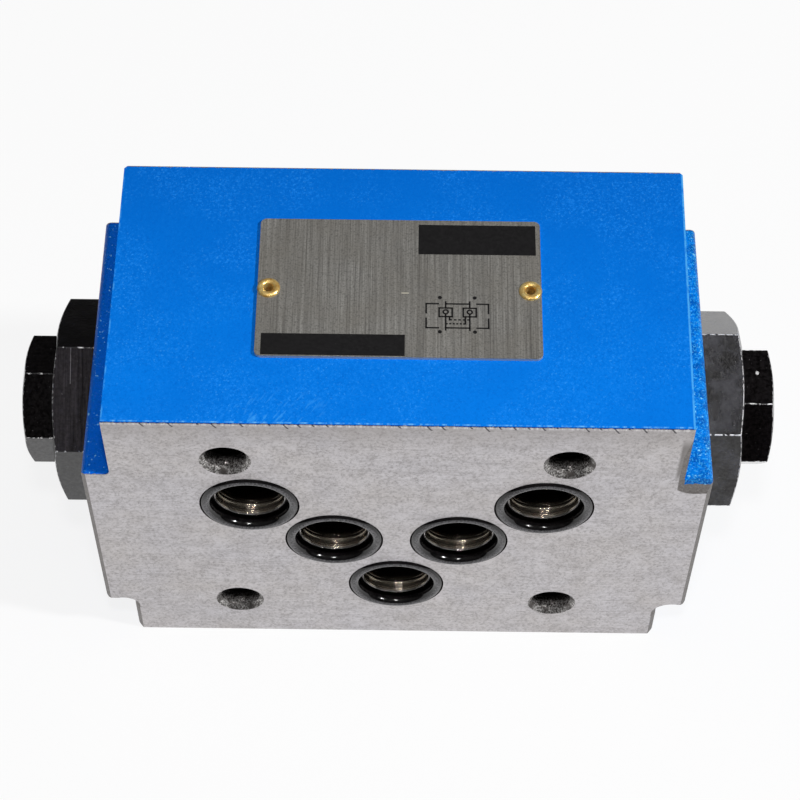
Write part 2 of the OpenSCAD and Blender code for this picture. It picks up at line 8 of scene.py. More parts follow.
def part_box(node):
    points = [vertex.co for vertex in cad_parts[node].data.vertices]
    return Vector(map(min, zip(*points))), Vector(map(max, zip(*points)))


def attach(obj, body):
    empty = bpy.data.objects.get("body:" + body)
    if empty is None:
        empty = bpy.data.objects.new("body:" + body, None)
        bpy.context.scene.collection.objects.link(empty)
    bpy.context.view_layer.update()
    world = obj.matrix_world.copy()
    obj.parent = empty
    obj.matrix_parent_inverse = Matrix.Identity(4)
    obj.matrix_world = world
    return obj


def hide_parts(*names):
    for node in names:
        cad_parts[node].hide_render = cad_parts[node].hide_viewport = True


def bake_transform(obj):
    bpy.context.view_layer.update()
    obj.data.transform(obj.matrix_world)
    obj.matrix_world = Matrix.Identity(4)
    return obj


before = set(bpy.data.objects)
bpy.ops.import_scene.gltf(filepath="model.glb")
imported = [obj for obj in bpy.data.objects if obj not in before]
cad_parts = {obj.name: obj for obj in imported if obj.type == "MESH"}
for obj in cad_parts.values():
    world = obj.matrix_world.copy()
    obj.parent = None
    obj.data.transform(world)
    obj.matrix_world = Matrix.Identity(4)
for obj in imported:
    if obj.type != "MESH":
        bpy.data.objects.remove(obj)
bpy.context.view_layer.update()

MM = 0.001

# The valve's main faces, in millimetres, as the part's source has them
SEAL_FACE_Y = -25.0
VALVE_FACE_Y = 25.0
PLATE_END_X = 45.5
FLARED_END_X = 46.3
TOP_Z = 68.0
BOSS_TOP_Z = 52.6
PORT_R = 5.6
PORT_PLACES = ((0.0, 17.5), (10.3, 32.6), (23.8, 43.7))
BOLT_R = 3.3
BOLT_PLACES = ((27.0, 11.2), (27.0, 57.2))
AXIS_Y, AXIS_Z = 2.0, 32.6
PLUG_SEAT_R = 14.65
PLUG_END_X = 57.5
NAMEPLATE_TOP_Z = 68.6
SIDES = ("left", "right")

# How near to a face of the casting a point still counts as on it, and where a hole's inside begins
FACE_DEPTH = 0.35
END_DEPTH = 0.9
SEAL_FACE_DEPTH = 0.4
BORE_START = 1.0
BOLT_RIM = 1.2
SEAT_DEPTH, SEAT_WIDTH = 1.66, 4.0
STEEP = 0.5

# Single marks on the finishes
PAINT_EDGE, PAINT_WANDER = -0.12, 0.5
OVERRUN_STOP_Z, OVERRUN_WANDER = 51.3, 0.7
CUTTER_WAY = (0.82, 0.58)
CUTTER_PATCH_LEFT, CUTTER_PATCH_RIGHT, CUTTER_PATCH_BACK = (-28.0, -22.0), (-16.0, -9.0), (-18.0, -21.5)
PLATE_SCRATCH_X, PLATE_SCRATCH_Y = 0.9, -0.4
PLUG_SCRATCH_X, PLUG_SCRATCH_LOW_Z = -54.3, 46.6
# the left plug's flat that takes a painted sheen faces this way
SHEEN_AND_SCUFF_FLAT = (0.0, -0.543, 0.84)
CHIP_PLACE = (60.5, 2.9, 42.1)

scene = bpy.context.scene
scene.view_settings.view_transform = "Standard"


# Camera, at the photograph's angle

CAMERA_PLACE = Vector((0.419, -208.978, 360.493)) * MM
CAMERA_LOOK = Vector((-0.00033, 0.54235, -0.84015))
CAMERA_RIGHT = Vector((0.99992, 0.01078, 0.00656))
SENSOR_WIDTH, FOCAL_LENGTH = 36.0, 101.956
CLIP_NEAR, CLIP_FAR = 0.01, 900.0


def set_up_camera():
    data = bpy.data.cameras.new("camera")
    data.sensor_width = SENSOR_WIDTH
    data.lens = FOCAL_LENGTH
    data.clip_start, data.clip_end = CLIP_NEAR, CLIP_FAR
    camera = bpy.data.objects.new("camera", data)
    back = -CAMERA_LOOK.normalized()
    right = (CAMERA_RIGHT - back * CAMERA_RIGHT.dot(back)).normalized()
    up = back.cross(right)
    turn = Matrix((right, up, back)).transposed().to_4x4()
    camera.matrix_world = Matrix.Translation(CAMERA_PLACE) @ turn
    scene.collection.objects.link(camera)
    scene.camera = camera


# Node boards: each call adds nodes and hands back their output

class Board:
    def __init__(self, tree):
        self.tree = tree

    def put(self, kind, **settings):
        node = self.tree.nodes.new(kind)
        for name, value in settings.items():
            setattr(node, name, value)
        return node

    def feed(self, socket, value):
        if isinstance(value, bpy.types.NodeSocket):
            self.tree.links.new(value, socket)
        else:
            socket.default_value = value

    def feed_all(self, sockets, values):
        for socket, value in zip(sockets, values):
            self.feed(socket, value)

    def math(self, operation, *values):
        node = self.put("ShaderNodeMath", operation=operation)
        self.feed_all(node.inputs, values)
        return node.outputs[0]

    def plus(self, first, second):
        return self.math("ADD", first, second)

    def less(self, first, second):
        return self.math("SUBTRACT", first, second)

    def times(self, first, *others):
        for other in others:
            first = self.math("MULTIPLY", first, other)
        return first

    def most(self, first, *others):
        for other in others:
            first = self.math("MAXIMUM", first, other)
        return first

    def size(self, value):
        return self.math("ABSOLUTE", value)

    def rest(self, share):
        return self.less(1.0, share)

    def under(self, value, limit):
        return self.math("LESS_THAN", value, limit)

    def over(self, value, limit):
        return self.math("GREATER_THAN", value, limit)

    def near(self, value, middle, half_width):
        return self.under(self.size(self.less(value, middle)), half_width)

    def vector(self, operation, *values):
        node = self.put("ShaderNodeVectorMath", operation=operation)
        self.feed_all(node.inputs, values)
        return node.outputs["Value"] if operation in ("LENGTH", "DOT_PRODUCT") else node.outputs[0]

    def split(self, vector):
        node = self.put("ShaderNodeSeparateXYZ")
        self.feed(node.inputs[0], vector)
        return node.outputs

    def join(self, x, y, z):
        node = self.put("ShaderNodeCombineXYZ")
        self.feed_all(node.inputs, (x, y, z))
        return node.outputs[0]

    def facing(self):
        return self.put("ShaderNodeTexCoord").outputs["Normal"]

    def noise(self, vector, scale=1.0, detail=2.0, roughness=0.5):
        """Noise about 0.5: its patches per unit, its finer octaves, and how strong those are."""
        node = self.put("ShaderNodeTexNoise")
        sockets = [node.inputs[name] for name in ("Vector", "Scale", "Detail", "Roughness")]
        self.feed_all(sockets, (vector, scale, detail, roughness))
        return node.outputs["Fac"]

    def chance(self, number):
        node = self.put("ShaderNodeTexWhiteNoise", noise_dimensions="1D")
        self.feed(node.inputs["W"], number)
        return node.outputs["Value"]

    def span(self, value, low, high, out_low=0.0, out_high=1.0, smooth=False):
        """How far a value is from low to high, as a share or between two other values."""
        node = self.put("ShaderNodeMapRange", clamp=True)
        node.interpolation_type = "SMOOTHSTEP" if smooth else "LINEAR"
        self.feed_all(node.inputs, (value, low, high, out_low, out_high))
        return node.outputs[0]

    def mix(self, share, first, second):
        node = self.put("ShaderNodeMix", data_type="FLOAT")
        self.feed_all((node.inputs[0], node.inputs[2], node.inputs[3]), (share, first, second))
        return node.outputs[0]

    def tint(self, share, first, second):
        node = self.put("ShaderNodeMix", data_type="RGBA")
        self.feed_all((node.inputs[0], node.inputs[6], node.inputs[7]), (share, first, second))
        return node.outputs[2]

    def coat(self, tone, *layers):
        """Lay colours over a tone, one after another, each by its share."""
        for share, colour in layers:
            tone = self.tint(share, tone, colour)
        return tone

    def bump(self, height, depth_mm):
        node = self.put("ShaderNodeBump")
        self.feed_all((node.inputs["Height"], node.inputs["Distance"]), (height, depth_mm * MM))
        return node.outputs[0]

    def place(self, effect, **inputs):
        node = self.put("ShaderNodeGroup", node_tree=effect)
        for name, value in inputs.items():
            self.feed(node.inputs[name], value)
        return node.outputs


def object_mm(board):
    coords = board.put("ShaderNodeTexCoord")
    scaled = board.put("ShaderNodeVectorMath", operation="SCALE")
    board.feed(scaled.inputs[0], coords.outputs["Object"])
    scaled.inputs["Scale"].default_value = 1.0 / MM
    return scaled.outputs[0]


def axis_reach(board, y, z):
    """Distance from the spool's axis."""
    return board.vector("LENGTH", board.join(0.0, board.less(y, AXIS_Y), board.less(z, AXIS_Z)))


def nearest_hole(board, x, z, places):
    """Distance from the nearest of some holes, which stand in mirrored pairs."""
    mirrored = board.size(x)
    nearest = None
    for hole_x, hole_z in places:
        away = board.join(board.less(mirrored, hole_x), 0.0, board.less(z, hole_z))
        reach = board.vector("LENGTH", away)
        nearest = reach if nearest is None else board.math("MINIMUM", nearest, reach)
    return nearest


def linear(red, green, blue):
    """A colour as a picture shows it, 0 to 255, as the shader takes it."""
    def one(value):
        share = value / 255.0
        return share / 12.92 if share <= 0.04045 else ((share + 0.055) / 1.055) ** 2.4
    return (one(red), one(green), one(blue), 1.0)


# Shared effects, each a group with its own inputs and outputs

def start_effect(name, inputs, outputs):
    tree = bpy.data.node_groups.new(name, "ShaderNodeTree")
    for label, kind, value in inputs:
        socket = tree.interface.new_socket(label, in_out="INPUT", socket_type="NodeSocket" + kind)
        socket.default_value = value
    for label, kind in outputs:
        tree.interface.new_socket(label, in_out="OUTPUT", socket_type="NodeSocket" + kind)
    board = Board(tree)
    return board, board.put("NodeGroupInput").outputs, board.put("NodeGroupOutput").inputs


def make_machining_lines():
    """Fine streaks: a high number of lines per millimetre runs across them, a low one along them."""
    board, given, result = start_effect(
        "machining_lines",
        [("Lines per mm", "Vector", (6.0, 0.1, 0.1))],
        [("Tone", "Float"), ("Height", "Float")],
    )
    place = board.vector("MULTIPLY", object_mm(board), given["Lines per mm"])
    fine = board.noise(place, 1.0, 3.0, 0.6)
    broad = board.noise(place, 0.23, 2.0, 0.5)
    both = board.plus(board.times(fine, 0.65), board.times(broad, 0.35))
    board.feed(result["Tone"], board.span(both, 0.3, 0.7))
    board.feed(result["Height"], fine)
    return board.tree


def make_specks():
    """Scattered small marks: Size in millimetres, Share from 0 for none to 1 for nearly all."""
    board, given, result = start_effect(
        "specks",
        [("Size mm", "Float", 0.3), ("Share", "Float", 0.3)],
        [("Mask", "Float")],
    )
    highest, fall, softness = 0.78, 0.5, 0.07
    scale = board.math("DIVIDE", 1.0, given["Size mm"])
    grain = board.noise(object_mm(board), scale, 2.0, 0.6)
    threshold = board.less(highest, board.times(given["Share"], fall))
    board.feed(result["Mask"], board.span(grain, threshold, board.plus(threshold, softness)))
    return board.tree


def make_turned_rings():
    """Rings left by turning round the spool's axis."""
    board, given, result = start_effect(
        "turned_rings",
        [("Rings per mm", "Float", 4.0)],
        [("Tone", "Float"), ("Height", "Float")],
    )
    x, y, z = board.split(object_mm(board))
    place = board.join(board.times(axis_reach(board, y, z), given["Rings per mm"]),
                       board.times(x, given["Rings per mm"]), 0.0)
    rings = board.noise(place, 1.0, 2.0, 0.5)
    board.feed(result["Tone"], board.span(rings, 0.3, 0.7))
    board.feed(result["Height"], rings)
    return board.tree


MACHINING_LINES = make_machining_lines()
SPECKS = make_specks()
TURNED_RINGS = make_turned_rings()


def machining_lines(board, per_mm):
    return board.place(MACHINING_LINES, **{"Lines per mm": per_mm})


def specks(board, size_mm, share):
    return board.place(SPECKS, **{"Size mm": size_mm, "Share": share})["Mask"]


def start_finish(name, **sockets):
    material = bpy.data.materials.new(name)
    material.use_nodes = True
    board = Board(material.node_tree)
    shader = material.node_tree.nodes["Principled BSDF"]
    for label, value in sockets.items():
        board.feed(shader.inputs[label.replace("_", " ")], value)
    return material, board, shader.inputs


# Finish of the casting

class CastingSpot:
    """Where a point of the casting lies, and as shares of 0 or 1 which of its surfaces it is on."""

    def __init__(self, board):
        self.place = object_mm(board)
        self.x, self.y, self.z = board.split(self.place)
        self.outward = board.size(board.split(board.facing())[1])
        self.inset = board.less(VALVE_FACE_Y, board.size(self.y))
        self.drop = board.less(TOP_Z, self.z)
        self.right = board.over(self.x, 0.0)
        self.front = board.under(self.y, 0.0)
        self.flank = board.under(self.outward, STEEP)
        self.at_top = board.under(self.drop, FACE_DEPTH)
        self.at_end = board.times(board.over(board.size(self.x), PLATE_END_X - END_DEPTH),
                                  board.over(axis_reach(board, self.y, self.z), PLUG_SEAT_R))
        self.rough_end = board.times(self.at_end, board.rest(self.at_top))
        self.cast = board.most(self.at_end, self.at_top, board.under(self.z, FACE_DEPTH))
        deep = board.most(self.flank, board.over(self.inset, BORE_START))
        self.bore = board.times(deep, board.rest(self.cast))
        self.by_bolt = board.under(nearest_hole(board, self.x, self.z, BOLT_PLACES), BOLT_R + BOLT_RIM)
        self.grit = board.noise(self.place, 2.3, 3.0, 0.75)


def painted(board, spot):
    """Paint stops unevenly just short of the ground faces, and runs over the right boss's sloping strip."""
    wander = board.noise(spot.place, 1.6, 3.0, 0.6)
    ragged = board.less(spot.inset, board.times(wander, PAINT_WANDER))
    stop = board.plus(OVERRUN_STOP_Z - OVERRUN_WANDER / 2, board.times(wander, OVERRUN_WANDER))
    overrun = board.times(board.over(spot.x, PLATE_END_X + 0.1), spot.front, board.over(spot.z, stop))
    return board.most(board.times(spot.cast, spot.flank, board.over(ragged, PAINT_EDGE)), overrun)


def top_enamel(board, spot):
    """Smooth paint of the milled top, darker toward the far side as painted shade, with fine dots and a
    mottle.
    """
    cloud = board.noise(spot.place, 0.07, 2.0, 0.5)
    # painted shade: the top darkens toward the far side, as the light falls off
    far = board.span(spot.y, SEAL_FACE_Y + 8.0, VALVE_FACE_Y, 0.0, 0.8)
    dusty = board.span(board.noise(spot.place, 0.11, 2.0, 0.5), 0.38, 0.62, 0.12, 1.0)
    dots = board.times(specks(board, 0.42, 0.34), dusty, 0.4)
    bright_mottle = board.times(board.span(spot.grit, 0.5, 0.7), dusty, 0.6)
    dull_mottle = board.times(board.span(spot.grit, 0.48, 0.3), 0.5)
    return board.coat(
        board.tint(cloud, linear(0, 112, 216), linear(0, 124, 232)),
        # painted shade toward the far side
        (board.times(far, spot.at_top), linear(0, 98, 196)),
        (dots, linear(70, 170, 248)),
        (bright_mottle, linear(34, 142, 246)),
        (dull_mottle, linear(0, 96, 198)),
    )


def end_enamel(board, spot, pebbles):
    """Pebbled paint of the cast ends, with painted shade in its hollows and painted glints: all over the
    right end, which is also painted lighter, and only here and there on the left.
    """
    patches = board.span(board.noise(spot.place, 0.55, 3.0, 0.6), 0.54, 0.4)
    # painted shade in the hollows of the pebbling, and painted glints, more of them on the right end
    painted_hollow_shade = board.span(pebbles, 0.5, 0.36)
    painted_glints = specks(board, 0.36, board.mix(spot.right, 0.25, 0.48))
    painted_sparks = specks(board, 0.55, board.mix(spot.right, 0.25, 0.28))
    return board.coat(
        # the right end painted lighter, as if lit from the right
        board.tint(board.times(spot.right, 0.8), linear(0, 102, 216), linear(0, 128, 220)),
        (board.times(patches, spot.right, 0.8), linear(0, 84, 168)),
        (board.times(painted_hollow_shade, 0.45), linear(0, 92, 182)),
        (board.times(painted_glints, 0.5), linear(70, 190, 246)),
        (board.times(painted_sparks, 0.85), linear(140, 224, 252)),
    )


def cutter_marks(board, spot):
    """Cutter marks that show through the paint in one patch near the seal face."""
    long_way, short_way = CUTTER_WAY
    across = board.less(board.times(spot.x, long_way), board.times(spot.y, short_way))
    along = board.plus(board.times(spot.x, short_way), board.times(spot.y, long_way))
    strokes = board.noise(board.join(board.times(across, 1.5), board.times(along, 0.35), 0.0))
    patch = board.times(
        board.span(spot.x, *CUTTER_PATCH_LEFT), board.span(spot.x, *CUTTER_PATCH_RIGHT, 1.0, 0.0),
        board.span(spot.y, *CUTTER_PATCH_BACK), spot.at_top)
    return board.times(board.span(strokes, 0.56, 0.66), patch)


def seal_edge_highlight_and_shade(board, spot):
    """Along the top's edge at the seal face: a painted highlight as a bright broken rim, and painted shade
    as a dark line on the rounding.
    """
    near_edge = board.times(spot.at_top, spot.front)
    lengths = board.noise(board.join(board.times(spot.x, 0.8), 0.0, 0.0), 1.0, 3.0, 0.65)
    painted_rim_highlight = board.times(near_edge, board.span(lengths, 0.46, 0.6),
                      board.span(spot.inset, 0.28, 0.38), board.span(spot.inset, 0.5, 0.62, 1.0, 0.0))
    return painted_rim_highlight, board.times(near_edge, board.span(spot.inset, 0.3, 0.2))


def painted_end_highlights(board, spot):
    """Painted highlight lines along the plate's two rounded ends, broken up, stronger on the right."""
    right_end = board.span(spot.y, SEAL_FACE_Y, VALVE_FACE_Y, PLATE_END_X, FLARED_END_X)
    right_gap, left_gap = board.less(right_end, spot.x), board.plus(spot.x, PLATE_END_X)
    end_line_breaks = board.noise(spot.place, 0.5, 3.0, 0.6)
    right_line = board.times(board.span(end_line_breaks, 0.3, 0.5), board.span(right_gap, 0.34, 0.24))
    left_line = board.times(board.span(end_line_breaks, 0.52, 0.64), board.span(left_gap, 0.3, 0.2), 0.6)
    return board.times(spot.at_top, board.most(right_line, left_line))


def enamel(board, spot):
    """The blue paint's colour, and the height of its skin."""
    pebbles = board.noise(spot.place, 1.9, 3.0, 0.62)
    fine_skin = board.noise(spot.place, 3.2, 2.0, 0.55)
    painted_rim_highlight, painted_edge_shade = seal_edge_highlight_and_shade(board, spot)
    blue = board.coat(
        top_enamel(board, spot),
        (spot.rough_end, end_enamel(board, spot, pebbles)),
        (board.times(cutter_marks(board, spot), 0.5), linear(64, 164, 246)),
        # painted highlight on the seal edge's rim, then painted shade on its rounding
        (board.times(painted_rim_highlight, 0.7), linear(120, 200, 252)),
        (painted_edge_shade, linear(2, 58, 140)),
        # painted highlight lines along the plate's ends
        (board.times(painted_end_highlights(board, spot), 0.55), linear(96, 194, 250)),
    )
    return blue, board.mix(spot.rough_end, board.times(fine_skin, 0.16), pebbles)


def edge_nicks(board, spot):
    """Slanted nicks that the cutter left in the seal face's upper edge, some missing, some long."""
    pitch, slant, width, longest = 2.2, 0.6, 0.13, 1.3
    tooth = board.math("DIVIDE", board.less(spot.x, board.times(spot.drop, slant)), pitch)
    number = board.math("FLOOR", tooth)
    part = board.less(tooth, number)
    length = board.span(board.chance(number), 0.3, 1.0, 0.0, longest)
    within = board.times(board.span(part, 0.0, 0.03), board.span(part, width, width + 0.05, 1.0, 0.0))
    return board.times(within, board.under(spot.drop, length))


def darker_grey_bands(board, spot, seal_side):
    """Bevels, the sloping strip and the face beside it, which take a darker grey."""
    bevels = board.times(board.span(spot.outward, 0.995, 0.985), board.rest(spot.flank), spot.at_end)
    beside = board.times(seal_side, board.span(spot.x, PLATE_END_X - 1.7, PLATE_END_X - 1.3),
                         board.span(spot.z, TOP_Z - 2.5, TOP_Z - 5.0),
                         board.span(spot.z, BOSS_TOP_Z - 0.4, BOSS_TOP_Z + 2.0))
    return board.most(bevels, board.times(beside, 0.8))


def ground_iron(board, spot, streaks):
    """Bare mating faces: streaks along the plate, clouds, dark pores, painted shade below the top, and a
    broken painted highlight with nicks along the upper edge.
    """
    clouds = board.noise(spot.place, 0.09, 3.0, 0.55)
    blotches = board.noise(spot.place, 0.42, 3.0, 0.6)
    pores = specks(board, 0.34, 0.24)
    seal_side = board.under(spot.y, SEAL_FACE_Y + SEAL_FACE_DEPTH)
    # painted shade on the seal face just below the top
    painted_shade_below_top = board.times(seal_side, board.span(spot.drop, 1.0, 7.0, 0.4, 0.0))
    # painted highlight along the seal face's upper edge, broken into pieces
    highlight_breaks = board.span(board.noise(board.join(spot.x, 0.0, 0.0), 1.3, 3.0, 0.7), 0.42, 0.62)
    painted_edge_highlight = board.times(seal_side, highlight_breaks, board.span(spot.drop, 0.25, 0.6, 1.0, 0.0))
    nicks = board.times(seal_side, edge_nicks(board, spot))
    darker_band_tone = board.tint(board.span(spot.grit, 0.4, 0.7), linear(112, 108, 106), linear(144, 140, 138))
    return board.coat(
        board.tint(streaks["Tone"], linear(178, 175, 178), linear(218, 215, 218)),
        (board.span(clouds, 0.35, 0.7, 0.0, 0.7), linear(202, 197, 195)),
        (board.span(spot.grit, 0.46, 0.68, 0.0, 0.75), linear(142, 138, 137)),
        (board.span(blotches, 0.5, 0.68, 0.0, 0.28), linear(222, 219, 222)),
        (board.span(blotches, 0.46, 0.3, 0.0, 0.26), linear(154, 149, 148)),
        (board.times(pores, 0.6), linear(112, 108, 107)),
        # painted shade below the top, then the painted highlight along the edge
        (painted_shade_below_top, linear(152, 147, 145)),
        (board.times(painted_edge_highlight, 0.8), linear(236, 234, 234)),
        (board.times(nicks, 0.85), linear(62, 60, 66)),
        (darker_grey_bands(board, spot, seal_side), darker_band_tone),
    )


def bore_layers(board, spot, rings):
    """Oiled brown ports with the drill's rings and gritty bolt holes, both darkened further in, and on the
    port seats, as painted shade; a painted highlight on the ports' mouths, bright specks on the bolt mouths.
    """
    streaked = board.noise(board.vector("MULTIPLY", spot.place, (1.6, 0.5, 1.6)), 1.0, 3.0, 0.7)
    gritty = board.noise(spot.place, 3.4, 3.0, 0.7)
    drilled = board.tint(board.span(gritty, 0.42, 0.62), linear(58, 54, 52), linear(196, 192, 190))
    lit_depth, dark_depth = board.mix(spot.by_bolt, 2.8, 0.9), board.mix(spot.by_bolt, 4.6, 3.2)
    port_reach = nearest_hole(board, spot.x, spot.z, PORT_PLACES)
    seat = board.times(spot.bore, board.under(spot.inset, SEAT_DEPTH),
                       board.over(port_reach, PORT_R - 0.1), board.under(port_reach, PORT_R + SEAT_WIDTH))
    oiled = board.coat(
        board.tint(board.span(rings, 0.4, 0.62), linear(68, 61, 55), linear(206, 197, 180)),
        (board.times(board.span(streaked, 0.52, 0.68), 0.6), linear(176, 150, 134)),
        (spot.by_bolt, drilled),
        # painted shade: darker further into each hole, and on the port seats
        (board.span(spot.inset, lit_depth, dark_depth), linear(26, 21, 20)),
        (seat, linear(26, 22, 21)),
    )
    # painted highlight on the edge of each port's mouth
    port_mouth_highlight = board.times(seat, board.under(port_reach, PORT_R + 0.14))
    bolt_mouth = board.times(spot.by_bolt, board.span(spot.outward, 0.96, 0.9),
                             board.over(spot.outward, STEEP))
    flecks = board.times(board.span(gritty, 0.44, 0.62),
                         board.span(board.noise(spot.place, 0.45, 2.0, 0.5), 0.36, 0.56))
    return (
        (spot.bore, oiled),
        # painted highlight on the ports' mouths
        (board.times(port_mouth_highlight, 0.6), linear(210, 206, 204)),
        (bolt_mouth, board.tint(flecks, linear(92, 88, 86), linear(226, 224, 222))),
    )


def make_painted_casting():
    """Blue enamel on the cast sides, bare ground iron on the two mating faces, oiled bores darkened further
    in as painted shade.
    """
    top_roughness, end_roughness, bore_roughness = 0.4, 0.26, 0.2
    port_dullness, bolt_dullness = 0.15, 0.6
    streak_height, grit_height, ring_height = 0.1, 0.06, 3.0
    material, board, shader = start_finish("painted_casting", Specular_IOR_Level=0.08)
    spot = CastingSpot(board)
    paint = painted(board, spot)
    blue, skin = enamel(board, spot)
    streaks = machining_lines(board, (0.22, 0.5, 4.5))
    rings = board.noise(board.join(0.0, board.times(spot.y, 1.4), 0.0), 1.0, 2.0, 0.6)
    iron = board.coat(ground_iron(board, spot, streaks), *bore_layers(board, spot, rings))
    board.feed(shader["Base Color"], board.tint(paint, iron, blue))
    dull = board.times(spot.bore, board.mix(spot.by_bolt, port_dullness, bolt_dullness))
    board.feed(shader["Metallic"], board.times(board.rest(paint), board.rest(dull)))
    ground_roughness = board.span(streaks["Tone"], 0.0, 1.0, 0.42, 0.55)
    bare_roughness = board.mix(spot.bore, ground_roughness, bore_roughness)
    paint_roughness = board.mix(spot.rough_end, top_roughness, end_roughness)
    board.feed(shader["Roughness"], board.mix(paint, bare_roughness, paint_roughness))
    ground_height = board.plus(board.times(streaks["Height"], streak_height),
                               board.times(spot.grit, grit_height))
    bare_height = board.mix(spot.bore, ground_height, board.times(rings, ring_height))
    board.feed(shader["Normal"], board.bump(board.mix(paint, bare_height, skin), depth_mm=0.26))
    return material


# Finishes of the other pieces

def make_brushed_plate():
    """Etched aluminium sheet, brushed across its length, with a small bright scratch, and a painted
    highlight along its edges.
    """
    material, board, shader = start_finish("brushed_plate", Metallic=0.45)
    place = object_mm(board)
    x, y, z = board.split(place)
    lines = machining_lines(board, (5.0, 0.07, 0.5))
    cloud = board.noise(place, 0.12, 3.0, 0.6)
    grain = board.noise(place, 3.4, 2.0, 0.6)
    scratch = board.times(board.near(x, PLATE_SCRATCH_X, 0.6), board.near(y, PLATE_SCRATCH_Y, 0.1))
    # painted highlight on the plate's edges below its top face
    painted_rim_highlight = board.span(z, NAMEPLATE_TOP_Z - 0.1, NAMEPLATE_TOP_Z - 0.02, 1.0, 0.0)
    board.feed(shader["Base Color"], board.coat(
        board.tint(lines["Tone"], linear(84, 82, 79), linear(180, 178, 173)),
        (board.span(cloud, 0.35, 0.7, 0.0, 0.6), linear(134, 130, 122)),
        (board.span(grain, 0.48, 0.7, 0.0, 0.6), linear(84, 83, 80)),
        (board.times(specks(board, 0.5, 0.1), 0.4), linear(84, 82, 78)),
        (scratch, linear(214, 208, 190)),
        # painted highlight along the edges
        (board.times(painted_rim_highlight, 0.8), linear(214, 212, 204)),
    ))
    board.feed(shader["Roughness"], board.span(lines["Tone"], 0.0, 1.0, 0.5, 0.36))
    board.feed(shader["Normal"], board.bump(lines["Height"], depth_mm=0.03))
    return material


def make_plate_ink():
    """Black print on the nameplate, rubbed thin here and there."""
    material, board, shader = start_finish("plate_ink", Specular_IOR_Level=0.3)
    wear = specks(board, 0.25, 0.12)
    board.feed(shader["Base Color"], board.tint(wear, linear(20, 19, 20), linear(58, 56, 55)))
    board.feed(shader["Roughness"], board.span(board.noise(object_mm(board), 2.0), 0.3, 0.7, 0.35, 0.55))
    return material


def make_rivet_brass():
    material, board, shader = start_finish("rivet_brass", Metallic=0.6)
    place = object_mm(board)
    stain = board.noise(place, 0.9, 3.0, 0.6)
    board.feed(shader["Base Color"], board.tint(
        board.span(stain, 0.35, 0.65), linear(244, 220, 150), linear(210, 160, 76)))
    board.feed(shader["Roughness"], board.span(stain, 0.3, 0.7, 0.24, 0.4))
    board.feed(shader["Normal"], board.bump(board.noise(place, 4.0, 2.0), depth_mm=0.03))
    return material


def make_seal_rubber():
    """Black rubber; the front-facing band of each ring that stands out of the seal face carries a grainy
    painted grey reflection.
    """
    material, board, shader = start_finish("seal_rubber")
    place = object_mm(board)
    bloom = board.noise(place, 1.2, 3.0, 0.6)
    # painted reflection: a grainy grey on the rings' front-facing band
    painted_reflection_grain = board.span(board.noise(place, 3.2, 3.0, 0.7), 0.36, 0.64)
    outer_band = board.span(board.split(board.facing())[1], -0.8, -0.97)
    board.feed(shader["Base Color"], board.coat(
        board.tint(board.span(bloom, 0.4, 0.7), linear(9, 8, 9), linear(22, 20, 21)),
        (board.times(painted_reflection_grain, outer_band), linear(92, 90, 94)),
    ))
    board.feed(shader["Roughness"], board.span(bloom, 0.3, 0.7, 0.09, 0.16))
    board.feed(shader["Normal"], board.bump(board.noise(place, 5.0, 2.0), depth_mm=0.004))
    return material


